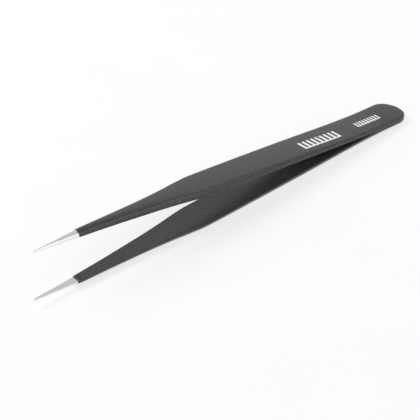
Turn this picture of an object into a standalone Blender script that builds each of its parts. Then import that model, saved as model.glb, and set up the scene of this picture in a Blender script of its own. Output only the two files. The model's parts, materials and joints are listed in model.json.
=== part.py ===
"""Precision tweezers: two sprung steel legs, welded at the tail and coated except at the points.

The tweezers are drawn about their own middle plane in millimetres, as stations along their length: station 0
is the tail end and the points are at station LENGTH. They are then laid down the way they rest, on the tail's
end and on the shoulder of the lower leg, with +X towards the points and +Z up. Meshes are in metres.
"""

import math

import bmesh
import bpy
import numpy as np
from mathutils import Vector

MM = 0.001

# Driving dimensions, in millimetres.
TAIL_END = 0.0
LENGTH = 120.0
COAT = 0.12  # thickness of the epoxy coat
COAT_END = 107.9  # station where the coat stops and the bare point starts
CLEARANCE = 0.02  # between faces that touch on the real object
SPLIT = 21.8  # station where the fixed tail hands over to the leg that moves
SPLIT_GAP = 0.1
PIVOT = 26.0  # station of the hinge that stands for the bending of the spring stretch

# Profiles of the coated upper leg, as (station, value), joined by smooth curves.
WIDTH = (
    (0, 9.3), (28, 9.45), (58, 9.3), (71, 9.15), (75.5, 8.25),
    (80, 7.0), (86, 5.7), (95, 4.3), (105, 2.95), (120, 0.4),
)
BEVEL = ((0, 0.1), (17, 0.32), (43, 0.63), (68, 0.92), (90, 1.02), (105, 0.93), (120, 0.13))
THICKNESS = ((0, 1.11), (12, 1.11), (18, 1.09), (43, 1.4), (68, 1.54), (105, 1.29), (120, 0.4))
# Height of the inner face above the middle plane. It is below the plane where one coat wraps both legs.
INNER_FACE = (
    (0, -0.11), (9, -0.11), (12.5, 0.0), (18, 0.28), (36, 1.46),
    (72, 3.8), (88, 4.7), (105, 5.66), (120, 6.1),
)

TAIL_ROUND = 4.4  # length of the rounded end, seen from above
TAIL_SQUARENESS = 2.4  # 2 is an ellipse, more is squarer
COAT_EDGE = 0.16  # how far the corners of the coated section are broken
STEEL_EDGE = 0.08
SHORTEST_STEP = 0.3  # between a bar's end and its next ring of points

WELD_STATIONS = {"rear": 4.2, "front": 8.6}
WELD_RADIUS = 1.5
WELD_HALF_HEIGHT = 0.32
WELD_SIDES = 24
WELD_STEPS = 8  # rings from one pole of the lens to the other

# Each printed comb: its first station, number of teeth, tooth and space widths, and tooth tip, root and back.
BROAD_MARK = (23.95, 9, 0.75, 0.78, (-0.65, 2.15, 2.6))
FINE_MARK = (8.05, 9, 0.48, 0.51, (-0.55, 1.2, 1.5))
INK = 0.03  # thickness of the printed marks
INK_LIFT = 0.01

BLACK_COAT = ("black_coat", (0.035, 0.035, 0.036), 0.5, 0.0)
STEEL = ("steel", (0.62, 0.62, 0.61), 0.3, 1.0)
WELD_STEEL = ("weld_steel", (0.36, 0.36, 0.37), 0.45, 1.0)
WHITE_INK = ("white_ink", (0.85, 0.85, 0.84), 0.6, 0.0)


def clear_scene():
    for obj in list(bpy.data.objects):
        bpy.data.objects.remove(obj, do_unlink=True)


def profile(points):
    """A smooth curve through the points that never overshoots them (a monotone cubic)."""
    x, y = np.array(points, float).T
    steps, slopes = np.diff(x), np.diff(y) / np.diff(x)
    tangents = np.zeros(len(x))
    tangents[0], tangents[-1] = slopes[0], slopes[-1]
    for i in range(1, len(x) - 1):
        before, after = slopes[i - 1], slopes[i]
        if before * after > 0:
            heavy, light = 2 * steps[i] + steps[i - 1], steps[i] + 2 * steps[i - 1]
            tangents[i] = (heavy + light) / (heavy / before + light / after)

    def value(at):
        i = int(np.clip(np.searchsorted(x, at) - 1, 0, len(steps) - 1))
        h, t = steps[i], (at - x[i]) / steps[i]
        rise = y[i + 1] - y[i]
        start, end = tangents[i] * h, tangents[i + 1] * h
        bend = t * t * (3 * rise - 2 * start - end) + t**3 * (start + end - 2 * rise)
        return float(y[i] + t * start + bend)

    return value


width, bevel, thickness, inner_face = map(profile, (WIDTH, BEVEL, THICKNESS, INNER_FACE))


def end_rounding(station, inset):
    """How much of its full width a section keeps at the rounded tail end."""
    if station >= TAIL_ROUND:
        return 1.0
    along = (TAIL_ROUND - station) / (TAIL_ROUND - inset)
    return max(0.0, 1 - along**TAIL_SQUARENESS) ** (1 / TAIL_SQUARENESS)


def section(station, inset, edge):
    """The upper leg's section as (y, z) corners, inset from the coated surface and with its edges broken.

    The side stands up from the inner face and curves in towards the outer face.
    """
    low, high = inner_face(station) + inset, inner_face(station) + thickness(station) - inset
    tall = high - low
    keep = end_rounding(station, inset)
    wide = (width(station) / 2 - inset) * keep
    lean = bevel(station) * tall / thickness(station) * keep
    edge = min(edge, 0.35 * (wide - lean), 0.25 * tall)
    middle, shoulder = tall / 2, tall - edge
    right = [
        (wide - edge, low),
        (wide, low + edge),
        (wide - lean * (middle / tall) ** 2, low + middle),
        (wide - lean * (shoulder / tall) ** 2, low + shoulder),
        (wide - lean - edge, high),
    ]
    return right + [(-y, z) for y, z in reversed(right)]


def steel_inset(station):
    """Depth of the steel below the coated surface. The bare point grows out to the full outline."""
    bare = (station - COAT_END) / (LENGTH - COAT_END)
    return COAT * (1 - min(1.0, max(0.0, bare)))


def tail_stations(inset):
    """Stations round the tail end at even angles, so that one solid's end nests inside another's."""
    turns = [math.cos(math.radians(angle)) ** (2 / TAIL_SQUARENESS) for angle in range(10, 90, 10)]
    return [TAIL_ROUND - (TAIL_ROUND - inset) * turn for turn in turns]


def leg_stations(start, end):
    """Stations along the legs: close together at the weld's end, the shoulder and the point."""
    spacing = (
        (TAIL_ROUND, 9, 2.4), (9, 21, 1.5), (21, 66, 5),
        (66, 90, 1.5), (90, 114, 2.5), (114, LENGTH, 2),
    )
    every = [station for low, high, step in spacing for station in np.arange(low, high, step)]
    low, high = start + SHORTEST_STEP, end - SHORTEST_STEP
    return [start, *(station for station in every if low < station < high), end]


def rings(start, end, side, inset, edge):
    """One closed ring of points for each station; side is 1 for the upper leg and -1 for the lower leg."""
    if start == TAIL_END:
        along = tail_stations(inset) + leg_stations(TAIL_ROUND, end)
    else:
        along = leg_stations(start, end)
    found = []
    for station in along:
        depth = inset(station) if callable(inset) else inset
        found.append([Vector((station, y, side * z)) * MM for y, z in section(station, depth, edge)])
    return found


def skin(mesh, loops):
    """Adds the faces between neighbouring rings and returns the first and the last ring's vertices."""
    rows = [[mesh.verts.new(point) for point in loop] for loop in loops]
    for near, far in zip(rows, rows[1:]):
        for i in range(len(near)):
            j = (i + 1) % len(near)
            mesh.faces.new((near[i], near[j], far[j], far[i]))
    return rows[0], rows[-1]


def bridge(mesh, outer, inner):
    """Closes the rim between two rings that lie in one plane."""
    for i in range(len(outer)):
        j = (i + 1) % len(outer)
        mesh.faces.new((outer[i], outer[j], inner[j], inner[i]))


def object_from(name, mesh, look=None, parent=None):
    """Makes the object, with its origin at its parent's, its faces turned outwards and its own material."""
    origin = parent.location if parent else Vector()
    bmesh.ops.translate(mesh, vec=-origin, verts=mesh.verts)
    bmesh.ops.recalc_face_normals(mesh, faces=mesh.faces)
    data = bpy.data.meshes.new(name)
    mesh.to_mesh(data)
    mesh.free()
    obj = bpy.data.objects.new(name, data)
    bpy.context.scene.collection.objects.link(obj)
    obj.parent = parent
    if look:
        data.materials.append(material(name, look))
    return obj


def material(name, look):
    label, color, roughness, metallic = look
    made = bpy.data.materials.new(f"{label}_{name}")
    made.use_nodes = True
    made.diffuse_color = (*color, 1)
    shader = made.node_tree.nodes["Principled BSDF"]
    shader.inputs["Base Color"].default_value = (*color, 1)
    shader.inputs["Roughness"].default_value = roughness
    shader.inputs["Metallic"].default_value = metallic
    return made


def cut(target, cutter, operation="DIFFERENCE"):
    """Joins or cuts with a Boolean and hides the helper."""
    modifier = target.modifiers.new(cutter.name, "BOOLEAN")
    modifier.operation = operation
    modifier.object = cutter
    modifier.solver = "EXACT"
    cutter.hide_render = True
    cutter.display_type = "WIRE"


def bar(name, start, end, side, inset, edge, look=None, parent=None):
    """A closed solid bar along one leg."""
    mesh = bmesh.new()
    first, last = skin(mesh, rings(start, end, side, inset, edge))
    mesh.faces.new(first)
    mesh.faces.new(last)
    return object_from(name, mesh, look, parent)


def sleeve(name, start, end, side, look, parent):
    """The coat round one leg: a thin sleeve, open at both ends."""
    mesh = bmesh.new()
    outer = skin(mesh, rings(start, end, side, 0.0, COAT_EDGE))
    inner = skin(mesh, rings(start, end, side, COAT - CLEARANCE, STEEL_EDGE))
    for outside, inside in zip(outer, inner):
        bridge(mesh, outside, inside)
    return object_from(name, mesh, look, parent)


def lens(name, station, grow, look=None, parent=None):
    """A weld nugget: a flat lens on the middle plane, or the slightly larger pocket that it sits in."""
    radius, half_height = WELD_RADIUS + grow, WELD_HALF_HEIGHT + grow
    mesh = bmesh.new()
    turns = [2 * math.pi * i / WELD_SIDES for i in range(WELD_SIDES)]
    loops = []
    for step in range(1, WELD_STEPS):
        z = -half_height * math.cos(math.pi * step / WELD_STEPS)
        reach = radius * math.sin(math.pi * step / WELD_STEPS)
        loops.append([Vector((station + reach * math.cos(a), reach * math.sin(a), z)) * MM for a in turns])
    first, last = skin(mesh, loops)
    mesh.faces.new(first)
    mesh.faces.new(last)
    return object_from(name, mesh, look, parent)


def printed_mark(name, columns, rows, filled, look, parent):
    """A flat printed shape on the upper leg's outer face, made of the filled cells of a grid of lines."""
    mesh = bmesh.new()
    corners = {}

    def corner(i, j, level):
        if (i, j, level) not in corners:
            z = inner_face(columns[i]) + thickness(columns[i]) + INK_LIFT + level * INK
            corners[i, j, level] = mesh.verts.new(Vector((columns[i], rows[j], z)) * MM)
        return corners[i, j, level]

    for i in range(len(columns) - 1):
        for j in range(len(rows) - 1):
            if not filled(i, j):
                continue
            around = [(i, j), (i + 1, j), (i + 1, j + 1), (i, j + 1)]
            neighbours = [(i, j - 1), (i + 1, j), (i, j + 1), (i - 1, j)]
            for level in (0, 1):
                mesh.faces.new([corner(*at, level) for at in around])
            for k, (column, row) in enumerate(neighbours):
                in_grid = 0 <= column < len(columns) - 1 and 0 <= row < len(rows) - 1
                if not (in_grid and filled(column, row)):
                    a, b = around[k], around[(k + 1) % 4]
                    mesh.faces.new([corner(*a, 0), corner(*b, 0), corner(*b, 1), corner(*a, 1)])
    return object_from(name, mesh, look, parent)


def comb_lines(start, teeth, tooth, space):
    """The lines on either side of each tooth of a printed comb."""
    lines = []
    for i in range(teeth):
        lines += [start + i * (tooth + space), start + i * (tooth + space) + tooth]
    return lines


def pivot_empty(name, side, parent):
    """The hinge of one leg, at the middle of its thickness."""
    empty = bpy.data.objects.new(name, None)
    bpy.context.scene.collection.objects.link(empty)
    middle = inner_face(PIVOT) + thickness(PIVOT) / 2
    empty.location = Vector((PIVOT, 0, side * middle)) * MM
    empty.empty_display_size = 3 * MM
    empty.parent = parent
    return empty


def make_tail(assembly):
    """The fixed tail: both heels, the welds between them and the coat round them."""
    end = SPLIT - SPLIT_GAP / 2
    for side, leg in ((1, "upper"), (-1, "lower")):
        heel = bar(f"{leg}_heel", TAIL_END, end, side, COAT, STEEL_EDGE, STEEL, assembly)
        for place, station in WELD_STATIONS.items():
            cut(heel, lens(f"{leg}_{place}_pocket", station, CLEARANCE, parent=assembly))
    for place, station in WELD_STATIONS.items():
        lens(f"weld_nugget_{place}", station, 0.0, WELD_STEEL, assembly)
    coat = bar("tail_coat", TAIL_END, end, 1, 0.0, COAT_EDGE, BLACK_COAT, assembly)
    cut(coat, bar("tail_coat_lower_half", TAIL_END, end, -1, 0.0, COAT_EDGE, parent=assembly), "UNION")
    inside = COAT - CLEARANCE
    for side, leg in ((1, "upper"), (-1, "lower")):
        cut(coat, bar(f"{leg}_heel_room", TAIL_END, end + 1, side, inside, STEEL_EDGE, parent=assembly))
    return coat


def make_leg(leg, side, assembly):
    """One moving leg: the steel, bare at the point, and its coat."""
    pivot = pivot_empty(f"{leg}_pivot", side, assembly)
    start = SPLIT + SPLIT_GAP / 2
    bar(f"{leg}_leg", start, LENGTH, side, steel_inset, STEEL_EDGE, STEEL, pivot)
    sleeve(f"{leg}_leg_coat", start, COAT_END, side, BLACK_COAT, pivot)
    return pivot


def make_marks(assembly, upper_pivot):
    """Two plain printed combs on the upper leg's outer face: a broad one and a fine one."""
    for name, mark, parent in (("broad_mark", BROAD_MARK, upper_pivot), ("fine_mark", FINE_MARK, assembly)):
        *columns, rows = mark
        printed_mark(name, comb_lines(*columns), rows, lambda i, j: j == 1 or i % 2 == 0, WHITE_INK, parent)


def lay_down(assembly):
    """Turns the tweezers so that the tail's end and the lower leg rest on z = 0, centred on the origin."""
    tail_depth = inner_face(0) + thickness(0)
    rises = [(inner_face(s) + thickness(s) - tail_depth) / s for s in leg_stations(SPLIT, COAT_END)]
    assembly.rotation_euler = (0, -math.atan(max(rises)), 0)
    bpy.context.view_layer.update()
    solids = [obj for obj in bpy.data.objects if obj.type == "MESH" and not obj.hide_render]
    points = np.array([obj.matrix_world @ v.co for obj in solids for v in obj.data.vertices])
    low, high = points.min(axis=0), points.max(axis=0)
    assembly.location = Vector((-(low[0] + high[0]) / 2, 0, -low[2]))


def main():
    clear_scene()
    assembly = bpy.data.objects.new("tweezers", None)
    bpy.context.scene.collection.objects.link(assembly)
    make_tail(assembly)
    upper_pivot = make_leg("upper", 1, assembly)
    make_leg("lower", -1, assembly)
    make_marks(assembly, upper_pivot)
    lay_down(assembly)


main()
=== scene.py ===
"""Looks for precision tweezers: two sprung steel legs in one epoxy coat that leaves the points bare.

The CAD frame holds the sizes, the bodies and the two flexing joints. This script draws the surfaces that
show: for each leg a coat and a steel core, in one piece from the tail to the end, and the two printed
marks. They are drawn in millimetres about the middle plane of the tweezers, as stations along their length
from the tail end, and laid where the frame's tail mount says that they lie.
"""

import json
import math

import bmesh
import bpy
import numpy as np
from mathutils import Matrix, Vector


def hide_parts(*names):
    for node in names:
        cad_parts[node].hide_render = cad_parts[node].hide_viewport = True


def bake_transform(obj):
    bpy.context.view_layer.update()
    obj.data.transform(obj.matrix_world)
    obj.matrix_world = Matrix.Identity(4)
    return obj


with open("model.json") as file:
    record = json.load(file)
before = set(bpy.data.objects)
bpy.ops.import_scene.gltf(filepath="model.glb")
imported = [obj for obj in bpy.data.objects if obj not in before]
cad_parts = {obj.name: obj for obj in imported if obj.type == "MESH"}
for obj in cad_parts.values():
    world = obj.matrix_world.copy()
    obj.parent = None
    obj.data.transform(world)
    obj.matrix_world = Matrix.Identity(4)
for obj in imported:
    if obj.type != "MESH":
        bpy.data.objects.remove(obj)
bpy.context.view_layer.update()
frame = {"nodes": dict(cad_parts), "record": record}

MM = 0.001

# ---- The CAD's own profiles and sizes, in millimetres

LENGTH = 120.0
COAT = 0.12
COAT_END = 107.9
CLEARANCE = 0.02  # between the coat and the steel
# Profiles of the coated upper leg, as (station, value), joined by smooth curves.
WIDTH = (
    (0, 9.3), (28, 9.45), (58, 9.3), (71, 9.15), (75.5, 8.25),
    (80, 7.0), (86, 5.7), (95, 4.3), (105, 2.95), (120, 0.4),
)
BEVEL = ((0, 0.1), (17, 0.32), (43, 0.63), (68, 0.92), (90, 1.02), (105, 0.93), (120, 0.13))
THICKNESS = ((0, 1.11), (12, 1.11), (18, 1.09), (43, 1.4), (68, 1.54), (105, 1.29), (120, 0.4))
INNER_FACE = (
    (0, -0.11), (9, -0.11), (12.5, 0.0), (18, 0.28), (36, 1.46),
    (72, 3.8), (88, 4.7), (105, 5.66), (120, 6.1),
)
TAIL_ROUND = 4.4
TAIL_SQUARENESS = 2.4
TAIL_START = 0.06  # where the CAD's faceted tail end starts
MOUNT_STATION, MOUNT_HEIGHT = 5.3, 1.0  # where the CAD puts its tail_upper_face mount

# Each printed comb: its first station, number of teeth, tooth and space widths, and tooth tip, root and back.
BROAD_MARK = (23.95, 9, 0.75, 0.78, (-0.65, 2.15, 2.6))
FINE_MARK = (8.05, 9, 0.48, 0.51, (-0.55, 1.2, 1.5))
INK = 0.03
INK_LIFT = 0.01

# ---- The finer shape of the surface, in millimetres

CROWN = 0.1  # how far the outer face falls away towards its long edges
CROWN_POWER = 3
CROWN_HALF_WIDTH = 2.0  # the crown is shallower where half the leg's width is less than this
SIDE_POWER = 2.0  # the side stands up from the inner face and curves in towards the crease
# Radius of the rounding at the inner face, and at the crease between the side and the outer face, each with
# the most of a section's height that it may take.
INNER_ROUND, INNER_ROUND_SHARE = 0.1, 0.3
CREASE_ROUND, CREASE_ROUND_SHARE = 0.45, 0.4
TAIL_SKEW = 0.06  # how far the tail end leans out on the near side and in on the far side, per unit of width

# The point is ground to flat facets: an upright lower side, a bevel above it and an outer face with no crown.
GRIND_START, GRIND_REACH = 100.0, 7.0
GROUND_UPRIGHT = 0.5  # share of the height below the ground bevel
GROUND_POWER = 1.15
GROUND_CREASE = 0.1  # the crease of the steel, which is sharper than the coat's
POINT_ROUND = 0.16

LIP = 0.15  # length over which the coat thins out to its edge
RIM_REACH = 2.0  # length of coat that the edge's unevenness draws along
RIM_WAVE = 0.1  # unevenness of the coat's edge
# How much longer than COAT_END each leg's coat is on the middle line, and how much more on its near side.
RIM_SLANT = {1: (-0.08, 0.18), -1: (0.3, 0.2)}
# The waves that make up the unevenness: waves in one round of the edge, size and phase.
RIM_WAVES = ((2, 1.0, 0.7), (5, 0.6, 2.1))

# How finely the stretches of the surface are divided.
CORNER_STEPS = 5
SIDE_STEPS = 8
FACE_STEPS = 8
TAIL_STEPS = 24
END_STEPS = 5  # round the coat's lip and round the end of the point
# Steps between the stations, as (from, to, step): shorter at the tail, the shoulder and the point.
SPACING = ((TAIL_ROUND, 14, 0.6), (14, 66, 1.0), (66, 92, 0.6), (92, LENGTH, 0.8))
LAST_STEP = 0.6  # the least space between the last of the stations and what follows them
JOINED = 1e-4  # points closer than this become one
SIDEWAYS = Vector((0, 1))

MARK_CORNERS = {"broad": 0.1, "fine": 0.07}  # radius of a printed corner
MARK_CORNER_STEPS = 3
MARK_CUT_START, MARK_CUT_STEP = 0.3, 0.5  # the marks are cut across at these steps, to follow the bending leg
MARK_SHARP_DEGREES = 40

# ---- Colours, in linear light, and materials

COAT_DARK, COAT_LIGHT = (0.006, 0.006, 0.006), (0.062, 0.062, 0.062)
GRAIN, DUST = (0.1, 0.1, 0.098), (0.3, 0.3, 0.29)  # the small pale specks in the coat and the larger ones
STEEL_DARK, STEEL_LIGHT, STEEL_CLOUD = (0.7, 0.7, 0.695), (0.87, 0.87, 0.865), (0.79, 0.79, 0.785)
INK_THIN, INK_FULL = (0.74, 0.74, 0.73), (0.9, 0.9, 0.89)
WELD_GREY, WELD_STRAW = (0.33, 0.33, 0.34), (0.42, 0.36, 0.27)
FLOOR_DARK, FLOOR_LIGHT = (0.325, 0.325, 0.325), (0.335, 0.335, 0.335)
SHARP = 0.01  # range over which a sharp mask goes from 0 to 1

# ---- Floor and light

FLOOR_HALF = 3.0  # half the floor's side, in metres
FLOOR_GLOW = 0.648
WALL_LIGHT, OVERHEAD_LIGHT, PANEL_LIGHT = 0.87, 0.1, 1.75
NEAR_SHARE = 0.87  # share of the wall's light that its near side gives
# Where each part of the tent begins and is complete, as the height or the nearness of a unit direction.
OVERHEAD_HEIGHTS, NEAR_SIDE = (0.57, 0.72), (0.35, 0.6)
PANEL_HEIGHTS, PANEL_NEARNESS = (0.39, 0.62), (0.18, 0.43)


def profile(points):
    """A smooth curve through the points that never overshoots them (a monotone cubic)."""
    x, y = np.array(points, float).T
    steps, slopes = np.diff(x), np.diff(y) / np.diff(x)
    tangents = np.zeros(len(x))
    tangents[0], tangents[-1] = slopes[0], slopes[-1]
    for i in range(1, len(x) - 1):
        before, after = slopes[i - 1], slopes[i]
        if before * after > 0:
            heavy, light = 2 * steps[i] + steps[i - 1], steps[i] + 2 * steps[i - 1]
            tangents[i] = (heavy + light) / (heavy / before + light / after)

    def value(at):
        i = int(np.clip(np.searchsorted(x, at) - 1, 0, len(steps) - 1))
        h, t = steps[i], (at - x[i]) / steps[i]
        rise = y[i + 1] - y[i]
        start, end = tangents[i] * h, tangents[i + 1] * h
        bend = t * t * (3 * rise - 2 * start - end) + t**3 * (start + end - 2 * rise)
        return float(y[i] + t * start + bend)

    return value


width, bevel, thickness, inner_face = map(profile, (WIDTH, BEVEL, THICKNESS, INNER_FACE))


def ease(t):
    """A smooth step from 0 to 1 while t goes from 0 to 1."""
    t = min(1.0, max(0.0, t))
    return t * t * (3 - 2 * t)


def quarter_turn(i, steps):
    """The angle after i of the steps of a quarter turn."""
    return math.pi / 2 * i / steps


def to_world():
    """The matrix from the tweezers' own millimetres to the frame's metres, read from the tail's mount."""
    mount = next(m for m in frame["record"]["mounts"] if m["name"] == "tail_upper_face")
    up = Vector(mount["axis"]).normalized()
    along = Vector((up.z, 0, -up.x))
    origin = Vector(mount["pos_m"]) - (along * MOUNT_STATION + up * MOUNT_HEIGHT) * MM
    turn = Matrix((along, (0, 1, 0), up)).transposed().to_4x4()
    return Matrix.Translation(origin) @ turn @ Matrix.Scale(MM, 4)


PLACE = to_world()


# ---- The legs' surfaces


def fillet(before, corner, after, radius, steps):
    """Points on the arc that rounds a corner between its two neighbours."""
    corner = Vector(corner)
    back, on = (Vector(before) - corner).normalized(), (Vector(after) - corner).normalized()
    half_angle = math.acos(max(-1.0, min(1.0, back.dot(on)))) / 2
    middle = (back + on).normalized()
    centre = corner + middle * radius / math.sin(half_angle)
    reach = radius / math.tan(half_angle)
    start, end = corner + back * reach - centre, corner + on * reach - centre
    sweep = math.pi - 2 * half_angle
    found = []
    for i in range(steps + 1):
        t = i / steps
        mix = start * math.sin((1 - t) * sweep) + end * math.sin(t * sweep)
        found.append(centre + mix / math.sin(sweep))
    return found


def heights(station, inset):
    """Lowest and highest height of a section above the middle plane."""
    return max(0.0, inner_face(station)) + inset, inner_face(station) + thickness(station) - inset


def outer_face(station, across):
    """Height of the crowned outer face, away from the tail end and the ground point."""
    half = width(station) / 2 - bevel(station)
    return heights(station, 0.0)[1] - CROWN * (abs(across) / half) ** CROWN_POWER


def ground_share(station):
    """How far the ground facets have taken over from the coated shape, from 0 to 1."""
    return ease((station - GRIND_START) / GRIND_REACH)


def side_curve(station, inset, crown, crease_round):
    """One side of a section, from the inner face round to the outer face, as (distance in, height)."""
    low, high = heights(station, inset)
    high -= crown
    tall = high - low
    lean = bevel(station) * tall / thickness(station)
    round_in = min(INNER_ROUND, INNER_ROUND_SHARE * tall)
    ground = ground_share(station)
    upright = GROUND_UPRIGHT * ground
    power = SIDE_POWER + (GROUND_POWER - SIDE_POWER) * ground
    slope = power * lean / (tall * (1 - upright))
    down, across = Vector((lean - slope, high - 1)), Vector((lean + 1, high))
    crease_round = min(crease_round, CREASE_ROUND_SHARE * tall)
    crease = fillet(down, (lean, high), across, crease_round, CORNER_STEPS)
    curve = []
    for i in range(CORNER_STEPS):
        turn = quarter_turn(i, CORNER_STEPS)
        curve.append((round_in * (1 - math.sin(turn)), low + round_in * (1 - math.cos(turn))))
    top = crease[0].y
    for i in range(SIDE_STEPS):
        curve.append((0.0, low + round_in + (top - low - round_in) * i / SIDE_STEPS))
    rises = [max(0.0, (z - low) / tall - upright) / (1 - upright) for _, z in curve]
    side = [(inward + lean * rise**power, z) for (inward, z), rise in zip(curve, rises)]
    return side + [(point.x, point.y) for point in crease]


def side_place(station):
    """The place of the near side at a station, seen from above."""
    return station, width(station) / 2


def outline(stations):
    """The near half of the outline from above: round the tail end from its middle, then along the side.

    Each of its points is a place and the outward direction there.
    """
    half = width(TAIL_ROUND) / 2
    power = 2 / TAIL_SQUARENESS
    found = []
    for i in range(TAIL_STEPS):
        turn = quarter_turn(i, TAIL_STEPS)
        c, s = math.cos(turn), math.sin(turn)
        place = (TAIL_START + (TAIL_ROUND - TAIL_START) * (1 - c**power), half * s**power)
        outward = Vector((-(c ** (2 - power)) / TAIL_ROUND, s ** (2 - power) / half)).normalized()
        found.append((place, outward))
    return found + [(side_place(station), SIDEWAYS) for station in stations]


def ring(place, outward, inset, shrink=1.0, crease_round=CREASE_ROUND):
    """One closed ring of points round the leg: near side, outer face, far side, inner face.

    inset sets it back from the coated surface, and shrink draws it in towards its middle.
    """
    station, half = place
    low, high = heights(station, inset)
    crown = CROWN * min(1.0, half / CROWN_HALF_WIDTH) * (1 - ground_share(station))
    side = side_curve(station, inset, crown, crease_round)
    near = [(station - outward.x * (inset + d), max(0.0, half - outward.y * (inset + d)), z) for d, z in side]
    far = [(x, -y, z) for x, y, z in reversed(near)]
    x, y, _ = near[-1]
    outer = []
    for i in range(1, FACE_STEPS):
        across = math.cos(math.pi * i / FACE_STEPS)
        outer.append((x, y * across, high - crown * abs(across) ** CROWN_POWER))
    x, y, _ = near[0]
    inner = [(x, -y * math.cos(math.pi * i / FACE_STEPS), low) for i in range(1, FACE_STEPS)]
    points = near + outer + far + inner
    middle = (low + high) / 2
    skew = TAIL_SKEW * (1 - ease(station / (2 * TAIL_ROUND)))
    return [(x - skew * y, y * shrink, middle + (z - middle) * shrink) for x, y, z in points]


def stations_to(end):
    """Stations along the leg, from the tail's round end to just before the given station."""
    every = [station for low, high, step in SPACING for station in np.arange(low, high, step)]
    return [station for station in every if station < end - LAST_STEP]


def coat_rings(side):
    """The coat: its outer wall from the tail end to its edge, then its inner wall back again."""
    along = stations_to(COAT_END - LIP)
    thin = COAT - CLEARANCE
    rings = [ring(place, outward, 0.0) for place, outward in outline(along)]
    for i in range(END_STEPS + 1):
        level = math.cos(quarter_turn(i, END_STEPS))
        rings.append(ring(side_place(COAT_END - LIP * level), SIDEWAYS, thin * (1 - level)))
    rings += [ring(place, outward, thin) for place, outward in reversed(outline(along))]
    return [[uneven(point, i / len(loop), side) for i, point in enumerate(loop)] for loop in rings]


def uneven(point, turn, side):
    """Lets the coat's edge slant and wander a little, as a dipped edge does."""
    x, y, z = point
    longer, slant = RIM_SLANT[side]
    wave = sum(size * math.sin(2 * count * math.pi * turn + phase) for count, size, phase in RIM_WAVES)
    most = sum(size for _, size, _ in RIM_WAVES)
    shift = longer + slant * y / (width(COAT_END) / 2) - RIM_WAVE * (1 + wave / most)
    return x + shift * ease((x - COAT_END + RIM_REACH) / RIM_REACH), y, z


def steel_inset(station):
    """Depth of the steel below the coated surface. The bare point grows out to the full outline."""
    return COAT * (1 - ease((station - COAT_END) / (LENGTH - COAT_END)))


def steel_rings():
    """The steel: round the tail end, along under the coat, and out to the rounded end of the point."""
    rings = [
        ring(place, outward, steel_inset(place[0]), crease_round=GROUND_CREASE)
        for place, outward in outline(stations_to(LENGTH - POINT_ROUND))
    ]
    for i in range(END_STEPS + 1):
        turn = quarter_turn(i, END_STEPS)
        station = LENGTH - POINT_ROUND + POINT_ROUND * math.sin(turn)
        rings.append(ring(side_place(station), SIDEWAYS, steel_inset(station), math.cos(turn), GROUND_CREASE))
    return rings


def tube(name, rings, side):
    """A closed surface from rings of points; side is 1 for the upper leg and -1 for the lower leg."""
    mesh = bmesh.new()
    rows = [[mesh.verts.new((x, y, side * z)) for x, y, z in loop] for loop in rings]
    for here, there in zip(rows, rows[1:]):
        for i in range(len(here)):
            j = (i + 1) % len(here)
            mesh.faces.new((here[i], here[j], there[j], there[i]))
    bmesh.ops.remove_doubles(mesh, verts=mesh.verts, dist=JOINED)
    bmesh.ops.recalc_face_normals(mesh, faces=mesh.faces)
    return laid(name, mesh)


def laid(name, mesh):
    """Makes the object from a mesh in the tweezers' millimetres, and keeps those for the materials."""
    data = bpy.data.meshes.new(name)
    mesh.to_mesh(data)
    mesh.free()
    rest = np.empty(len(data.vertices) * 3, np.float32)
    data.vertices.foreach_get("co", rest)
    data.attributes.new("tweezers_mm", "FLOAT_VECTOR", "POINT").data.foreach_set("vector", rest)
    data.transform(PLACE)
    data.shade_smooth()
    obj = bpy.data.objects.new(name, data)
    bpy.context.scene.collection.objects.link(obj)
    return obj


# ---- The printed marks


def comb_outline(start, teeth, tooth, space, rows):
    """A comb seen from above: its back along the near side, and its teeth across the leg."""
    tip, root, back = rows
    end = start + teeth * tooth + (teeth - 1) * space
    points = [(end, back), (start, back)]
    for i in range(teeth):
        left = start + i * (tooth + space)
        points += [(left, tip), (left + tooth, tip)]
        if i < teeth - 1:
            points += [(left + tooth, root), (left + tooth + space, root)]
    return points


def comb(name, mark, corner):
    """A thin printed comb that follows the outer face, its corners softened as in printing."""
    start, teeth, tooth, space, rows = mark
    points = comb_outline(start, teeth, tooth, space, rows)
    soft = []
    for i, point in enumerate(points):
        soft += fillet(points[i - 1], point, points[(i + 1) % len(points)], corner, MARK_CORNER_STEPS)
    mesh = bmesh.new()
    mesh.faces.new([mesh.verts.new((x, y, 0.0)) for x, y in soft])
    raised = bmesh.ops.extrude_face_region(mesh, geom=mesh.faces[:], use_keep_orig=True)["geom"]
    bmesh.ops.translate(mesh, vec=(0, 0, INK), verts=[v for v in raised if isinstance(v, bmesh.types.BMVert)])
    bmesh.ops.triangulate(mesh, faces=mesh.faces[:])
    for station in np.arange(start + MARK_CUT_START, start + teeth * (tooth + space), MARK_CUT_STEP):
        every = mesh.verts[:] + mesh.edges[:] + mesh.faces[:]
        bmesh.ops.bisect_plane(mesh, geom=every, plane_co=(station, 0, 0), plane_no=(1, 0, 0))
    for vertex in mesh.verts:
        vertex.co.z += outer_face(vertex.co.x, vertex.co.y) + INK_LIFT
    bmesh.ops.recalc_face_normals(mesh, faces=mesh.faces)
    obj = laid(name, mesh)
    obj.data.set_sharp_from_angle(angle=math.radians(MARK_SHARP_DEGREES))
    return obj


# ---- Materials


def shader_tree(name):
    """A new material, with its node tree and its shader."""
    made = bpy.data.materials.new(name)
    made.use_nodes = True
    tree = made.node_tree
    return made, tree, tree.nodes["Principled BSDF"]


def place_vector(tree, stretch=(1, 1, 1)):
    """The tweezers' own millimetres, so that the grain stays with the surface as the legs bend."""
    attribute = tree.nodes.new("ShaderNodeAttribute")
    attribute.attribute_name = "tweezers_mm"
    mapping = tree.nodes.new("ShaderNodeMapping")
    mapping.inputs["Scale"].default_value = stretch
    tree.links.new(attribute.outputs["Vector"], mapping.inputs["Vector"])
    return mapping.outputs["Vector"]


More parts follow.
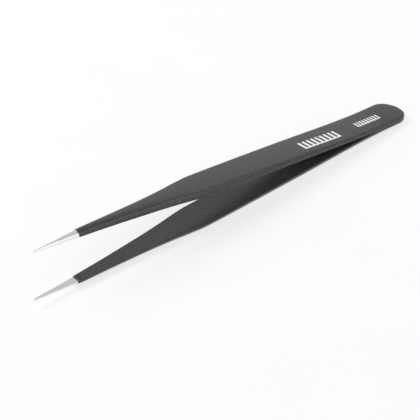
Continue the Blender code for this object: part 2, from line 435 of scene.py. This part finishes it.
def noise(tree, vector, scale, detail=3.0, roughness=0.55):
    """A noise pattern, mostly between 0.3 and 0.7."""
    made = tree.nodes.new("ShaderNodeTexNoise")
    made.inputs["Scale"].default_value = scale
    made.inputs["Detail"].default_value = detail
    made.inputs["Roughness"].default_value = roughness
    tree.links.new(vector, made.inputs["Vector"])
    return made.outputs["Fac"]


def ranged(tree, value, low, high, start=0.3, end=0.7):
    """value, which runs from start to end, spread over low to high."""
    made = tree.nodes.new("ShaderNodeMapRange")
    for socket, number in (("From Min", start), ("From Max", end), ("To Min", low), ("To Max", high)):
        made.inputs[socket].default_value = number
    tree.links.new(value, made.inputs["Value"])
    return made.outputs["Result"]


def product(tree, first, second):
    """One socket's value times the other's."""
    made = tree.nodes.new("ShaderNodeMath")
    made.operation = "MULTIPLY"
    tree.links.new(first, made.inputs[0])
    tree.links.new(second, made.inputs[1])
    return made.outputs["Value"]


def mixed(tree, factor, first, second):
    """A colour between two, each a colour or a socket."""
    made = tree.nodes.new("ShaderNodeMix")
    made.data_type = "RGBA"
    tree.links.new(factor, made.inputs["Factor"])
    for socket, color in ((made.inputs["A"], first), (made.inputs["B"], second)):
        if isinstance(color, tuple):
            socket.default_value = (*color, 1)
        else:
            tree.links.new(color, socket)
    return made.outputs["Result"]


def bump(tree, shader, height, depth, below=None):
    """Raises the surface by height times depth, in metres, on top of the bump below it if there is one."""
    made = tree.nodes.new("ShaderNodeBump")
    made.inputs["Distance"].default_value = depth
    tree.links.new(height, made.inputs["Height"])
    if below:
        tree.links.new(below, made.inputs["Normal"])
    tree.links.new(made.outputs["Normal"], shader.inputs["Normal"])
    return made.outputs["Normal"]


def specks(tree, vector, scale, size, share):
    """A mask of sparse round specks: a share of a Voronoi pattern's cells, each with a dot in its middle."""
    cells = tree.nodes.new("ShaderNodeTexVoronoi")
    cells.inputs["Scale"].default_value = scale
    tree.links.new(vector, cells.inputs["Vector"])
    split = tree.nodes.new("ShaderNodeSeparateColor")
    tree.links.new(cells.outputs["Color"], split.inputs["Color"])
    dot = ranged(tree, cells.outputs["Distance"], 1.0, 0.0, size / 2, size)
    chosen = ranged(tree, split.outputs["Red"], 0.0, 1.0, 1 - share, 1 - share + SHARP)
    return product(tree, dot, chosen)


def coat_material():
    """Satin black epoxy: a fine orange peel, slight mottling and a few pale specks of dust."""
    made, tree, shader = shader_tree("satin_black_epoxy")
    vector = place_vector(tree)
    mottle = ranged(tree, noise(tree, vector, scale=2.4, detail=4.0, roughness=0.75), 0.0, 1.0)
    color = mixed(tree, mottle, COAT_DARK, COAT_LIGHT)
    grains = specks(tree, vector, scale=1.3, size=0.16, share=0.2)
    dust = specks(tree, vector, scale=0.5, size=0.08, share=0.2)
    grained = mixed(tree, grains, color, GRAIN)
    tree.links.new(mixed(tree, dust, grained, DUST), shader.inputs["Base Color"])
    gloss = noise(tree, vector, scale=1.6, detail=4.0)
    tree.links.new(ranged(tree, gloss, low=0.27, high=0.37), shader.inputs["Roughness"])
    shader.inputs["IOR"].default_value = 1.47
    peel = bump(tree, shader, noise(tree, vector, scale=4.5, detail=2.0), depth=0.006 * MM)
    bump(tree, shader, noise(tree, vector, scale=0.6, detail=2.0), depth=0.01 * MM, below=peel)
    return made


def steel_material():
    """Ground stainless steel: fine lines along the point, uneven in depth and gloss."""
    made, tree, shader = shader_tree("ground_steel")
    lines = noise(tree, place_vector(tree, stretch=(0.5, 9.0, 9.0)), scale=1.6, detail=4.0)
    cloud = noise(tree, place_vector(tree), scale=1.1, detail=3.0)
    tone = mixed(tree, ranged(tree, lines, 0.0, 1.0), STEEL_DARK, STEEL_LIGHT)
    shade = ranged(tree, cloud, 0.0, 1.0)
    tree.links.new(mixed(tree, shade, tone, STEEL_CLOUD), shader.inputs["Base Color"])
    tree.links.new(ranged(tree, lines, low=0.27, high=0.38), shader.inputs["Roughness"])
    shader.inputs["Metallic"].default_value = 1.0
    bump(tree, shader, lines, depth=0.0025 * MM)
    return made


def ink_material():
    """White pad-printed ink, slightly uneven in cover."""
    made, tree, shader = shader_tree("white_pad_print")
    vector = place_vector(tree)
    cover = ranged(tree, noise(tree, vector, scale=3.5, detail=4.0), 0.0, 1.0, start=0.25, end=0.45)
    tree.links.new(mixed(tree, cover, INK_THIN, INK_FULL), shader.inputs["Base Color"])
    gloss = noise(tree, vector, scale=2.0)
    tree.links.new(ranged(tree, gloss, low=0.5, high=0.62), shader.inputs["Roughness"])
    bump(tree, shader, noise(tree, vector, scale=9.0, detail=2.0), depth=0.003 * MM)
    return made


def weld_material():
    """Fused steel: darker, coarse-grained, with a straw heat tint in places."""
    made, tree, shader = shader_tree("fused_weld_steel")
    coordinates = tree.nodes.new("ShaderNodeTexCoord")
    grain = noise(tree, coordinates.outputs["Object"], scale=1800, detail=4.0)
    tint = ranged(tree, noise(tree, coordinates.outputs["Object"], scale=500), 0.0, 1.0)
    tree.links.new(mixed(tree, tint, WELD_GREY, WELD_STRAW), shader.inputs["Base Color"])
    tree.links.new(ranged(tree, grain, low=0.35, high=0.55), shader.inputs["Roughness"])
    shader.inputs["Metallic"].default_value = 1.0
    bump(tree, shader, grain, depth=0.02 * MM)
    return made


# ---- The pieces


def across_joint(obj):
    """Bakes the piece's placing into its mesh."""
    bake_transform(obj)


def make_legs(coat, steel):
    """Each leg's coat and steel, which take the place of the CAD's coats, heels and legs."""
    for leg, side in (("upper", 1), ("lower", -1)):
        skin = tube(f"{leg}_coat_skin", coat_rings(side), side)
        core = tube(f"{leg}_steel", steel_rings(), side)
        for piece, material, slot in ((skin, coat, "black_coat"), (core, steel, "steel")):
            piece.data.materials.append(material)
            across_joint(piece)
        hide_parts(f"{leg}_leg_coat", "tail_coat")
        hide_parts(f"{leg}_leg", f"{leg}_heel")


def make_marks(ink):
    """The two printed combs on the upper leg."""
    for size, shape in (("broad", BROAD_MARK), ("fine", FINE_MARK)):
        node = f"{size}_mark"
        mark = comb(f"{size}_comb_print", shape, MARK_CORNERS[size])
        mark.data.materials.append(ink)
        across_joint(mark)
        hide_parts(node)


def finish_welds(weld):
    """Gives the CAD's own weld nuggets, which nothing replaces, their material."""
    for node in ("weld_nugget_rear", "weld_nugget_front"):
        nugget = frame["nodes"][node]
        nugget.data.materials.clear()
        nugget.data.materials.append(weld)


# ---- Floor, light and camera


def make_floor():
    """A plain white table. It glows, so that it stays white under soft light."""
    mesh = bmesh.new()
    bmesh.ops.create_grid(mesh, x_segments=1, y_segments=1, size=FLOOR_HALF)
    data = bpy.data.meshes.new("floor")
    mesh.to_mesh(data)
    mesh.free()
    floor = bpy.data.objects.new("floor", data)
    bpy.context.scene.collection.objects.link(floor)
    made, tree, shader = shader_tree("white_table")
    coordinates = tree.nodes.new("ShaderNodeTexCoord")
    cloud = ranged(tree, noise(tree, coordinates.outputs["Object"], scale=30), 0.0, 1.0)
    tree.links.new(mixed(tree, cloud, FLOOR_DARK, FLOOR_LIGHT), shader.inputs["Base Color"])
    shader.inputs["Roughness"].default_value = 0.7
    shader.inputs["Specular IOR Level"].default_value = 0.2
    shader.inputs["Emission Color"].default_value = (1, 1, 1, 1)
    shader.inputs["Emission Strength"].default_value = FLOOR_GLOW
    data.materials.append(made)


def make_world():
    """A white light tent: dim overhead, a little dimmer on the near side, where a bright panel hangs high."""
    world = bpy.data.worlds.new("light_tent")
    bpy.context.scene.world = world
    world.use_nodes = True
    tree = world.node_tree
    coordinates = tree.nodes.new("ShaderNodeTexCoord")
    split = tree.nodes.new("ShaderNodeSeparateXYZ")
    tree.links.new(coordinates.outputs["Generated"], split.inputs["Vector"])
    height, nearness = split.outputs["Z"], split.outputs["Y"]
    upwards = ranged(tree, height, WALL_LIGHT, OVERHEAD_LIGHT, *OVERHEAD_HEIGHTS)
    wall = product(tree, upwards, ranged(tree, nearness, 1.0, NEAR_SHARE, *NEAR_SIDE))
    near_part = ranged(tree, nearness, 0.0, 1.0, *PANEL_NEARNESS)
    panel = product(tree, near_part, ranged(tree, height, 0.0, 1.0, *PANEL_HEIGHTS))
    strength = tree.nodes.new("ShaderNodeMix")
    tree.links.new(panel, strength.inputs["Factor"])
    tree.links.new(wall, strength.inputs["A"])
    strength.inputs["B"].default_value = PANEL_LIGHT
    tree.links.new(strength.outputs["Result"], tree.nodes["Background"].inputs["Strength"])
    tree.nodes["Background"].inputs["Color"].default_value = (1, 1, 1, 1)


def softbox(name, direction, distance, size, radiance):
    """A square area light that faces the tweezers, with the given radiance all over its face."""
    light = bpy.data.lights.new(name, "AREA")
    light.size = size
    light.energy = radiance * math.pi * size**2
    obj = bpy.data.objects.new(name, light)
    bpy.context.scene.collection.objects.link(obj)
    obj.location = Vector(direction).normalized() * distance
    obj.rotation_euler = Vector(direction).to_track_quat("Z", "Y").to_euler()
    obj.visible_camera = False


def make_camera():
    """The camera stands above the near side of the points and looks back along the legs."""
    azimuth, elevation, roll = map(math.radians, (137.148, 34.23, 0.636))
    aim, distance = Vector((10.922, 4.484, 5.0)) * MM, 390.29 * MM
    level = math.cos(elevation)
    back = Vector((math.sin(azimuth) * level, -math.cos(azimuth) * level, math.sin(elevation)))
    data = bpy.data.cameras.new("camera")
    data.lens = 142.78
    data.sensor_width = 36.0
    data.clip_start, data.clip_end = 0.01, 10.0
    camera = bpy.data.objects.new("camera", data)
    bpy.context.scene.collection.objects.link(camera)
    camera.rotation_mode = "QUATERNION"
    camera.location = aim + back * distance
    camera.rotation_quaternion = back.to_track_quat("Z", "Y") @ Matrix.Rotation(-roll, 3, "Z").to_quaternion()
    bpy.context.scene.camera = camera


make_legs(coat_material(), steel_material())
make_marks(ink_material())
finish_welds(weld_material())
make_floor()
make_world()
softbox("window_softbox", direction=(0.3, -0.6, 0.74), distance=1.0, size=0.5, radiance=5.3)
make_camera()
bpy.context.scene.view_settings.view_transform = "Standard"
